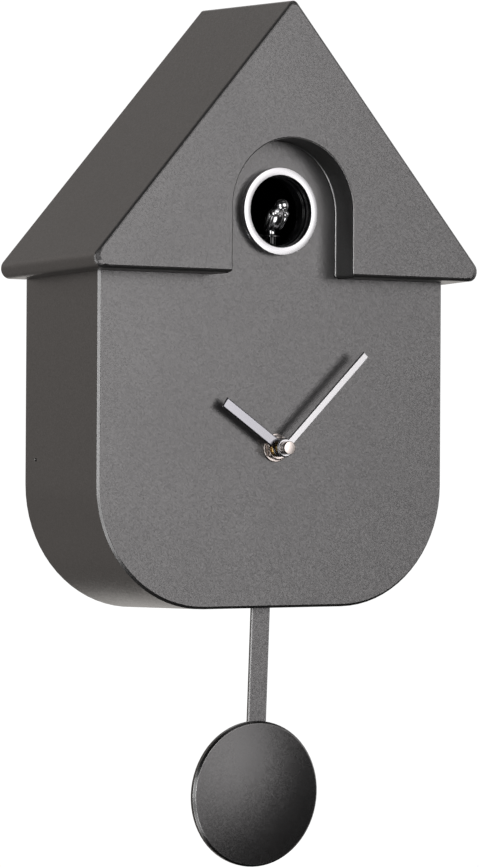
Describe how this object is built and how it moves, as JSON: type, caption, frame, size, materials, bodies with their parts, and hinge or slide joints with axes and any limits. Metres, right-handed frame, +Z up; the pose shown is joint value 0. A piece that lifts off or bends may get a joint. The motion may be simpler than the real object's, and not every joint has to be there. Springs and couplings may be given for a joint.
{
  "type": "wall cuckoo clock",
  "caption": "House-shaped wall cuckoo clock with a gable roof, arched recess, round bird window, straight hands and a disc pendulum; mechanism, speaker and battery bay inside.",
  "frame": {"origin": "the point at the top of the hanger plate's slot, on its rear face, where the wall screw bears", "axes": "+X to the right seen from the front, +Y into the wall, +Z up"},
  "size_m": [0.2148, 0.0778, 0.395],
  "materials": {
    "anthracite": "fine metallic anthracite lacquer, satin",
    "black_plastic": "fine-grained moulded black",
    "gloss_black": "glossy black",
    "silver": "bright satin aluminium",
    "nickel": "nickel plate",
    "brass": "turned brass",
    "steel": "zinc-plated steel",
    "white_plastic": "off-white moulded plastic",
    "copper": "enamelled copper wire",
    "circuit_board": "green solder mask",
    "rubber": "soft black rubber",
    "paper": "pressed paper cone",
    "cell_jacket": "printed metal jacket, unlettered"
  },
  "bodies": {
    "case": {"roof_shell": "anthracite", "body_shell": "anthracite", "back_cover": "black_plastic", "battery_tray": "black_plastic", "carriage_guide": "black_plastic", "movement_front": "black_plastic", "movement_rear": "black_plastic", "drive_case": "black_plastic", "window_liner": "gloss_black", "light_sensor": "gloss_black", "window_ring": "silver", "dial_washer": "nickel", "hex_nut": "nickel", "contact_strip": "nickel", "contact_spring": "nickel", "threaded_bush": "brass", "cover_screw_upper_left": "steel", "cover_screw_upper_right": "steel", "cover_screw_lower_left": "steel", "cover_screw_lower_right": "steel", "roof_screw_left": "steel", "roof_screw_right": "steel", "guide_screw_left": "steel", "guide_screw_right": "steel", "hanger_plate": "steel", "cuckoo_motor": "steel", "motor_stator": "steel", "speaker_basket": "steel", "speaker_magnet": "steel", "volume_switch": "steel", "motor_coil": "copper", "drive_coil": "copper", "movement_board": "circuit_board", "sound_board": "circuit_board", "wall_pad_left": "rubber", "wall_pad_right": "rubber", "speaker_cone": "paper", "battery_cell_upper": "cell_jacket", "battery_cell_lower": "cell_jacket"},
    "minute": {"minute_arbor": "brass", "minute_hand": "silver", "cap_nut": "nickel"},
    "hour": {"hour_wheel": "brass", "hour_hand": "silver"},
    "motion": {"motion_wheel": "white_plastic", "set_knob": "black_plastic"},
    "rotor": {"motor_rotor": "steel"},
    "pendulum": {"pendulum_hanger": "steel", "pendulum_rod": "anthracite", "pendulum_bob": "anthracite", "drive_magnet": "nickel"},
    "bird": {"bird": "silver", "bird_post": "gloss_black", "bird_carriage": "black_plastic"},
    "pinion": {"rack_pinion": "white_plastic"},
    "battery_door": {"battery_door": "black_plastic"},
    "volume_slider": {"volume_slider": "white_plastic"},
    "test_button": {"test_button": "white_plastic"}
  },
  "joints": [
    {"name": "minute_turn", "type": "hinge", "parent": "case", "child": "minute", "pos_m": [0, -0.063, -0.172], "axis": [0, 1, 0], "continuous": true},
    {"name": "hour_turn", "type": "hinge", "parent": "case", "child": "hour", "pos_m": [0, -0.063, -0.172], "axis": [0, 1, 0], "continuous": true},
    {"name": "motion_turn", "type": "hinge", "parent": "case", "child": "motion", "pos_m": [0.0084, -0.055, -0.172], "axis": [0, 1, 0], "continuous": true},
    {"name": "rotor_turn", "type": "hinge", "parent": "case", "child": "rotor", "pos_m": [-0.006, -0.052, -0.1915], "axis": [0, 1, 0], "continuous": true},
    {"name": "pendulum_swing", "type": "hinge", "parent": "case", "child": "pendulum", "pos_m": [0, -0.052, -0.214], "axis": [0, 1, 0], "range_deg": [-7, 3]},
    {"name": "bird_slide", "type": "slide", "parent": "case", "child": "bird", "axis": [0, -1, 0], "range_m": [0, 0.01]},
    {"name": "pinion_turn", "type": "hinge", "parent": "case", "child": "pinion", "pos_m": [0, -0.038, -0.08435], "axis": [1, 0, 0], "range_deg": [0, 140]},
    {"name": "battery_door_slide", "type": "slide", "parent": "case", "child": "battery_door", "axis": [0, 1, 0], "range_m": [0, 0.025]},
    {"name": "volume_slide", "type": "slide", "parent": "case", "child": "volume_slider", "axis": [1, 0, 0], "range_m": [0, 0.006]},
    {"name": "test_press", "type": "slide", "parent": "case", "child": "test_button", "axis": [0, -1, 0], "range_m": [0, 0.001], "stiffness_N_per_m": 250}
  ],
  "couplings": [
    {"joint": "hour_turn", "follows": "minute_turn", "ratio": 0.083333},
    {"joint": "motion_turn", "follows": "minute_turn", "ratio": -0.33333},
    {"joint": "pinion_turn", "follows": "bird_slide", "rad_per_m": 238.1}
  ]
}
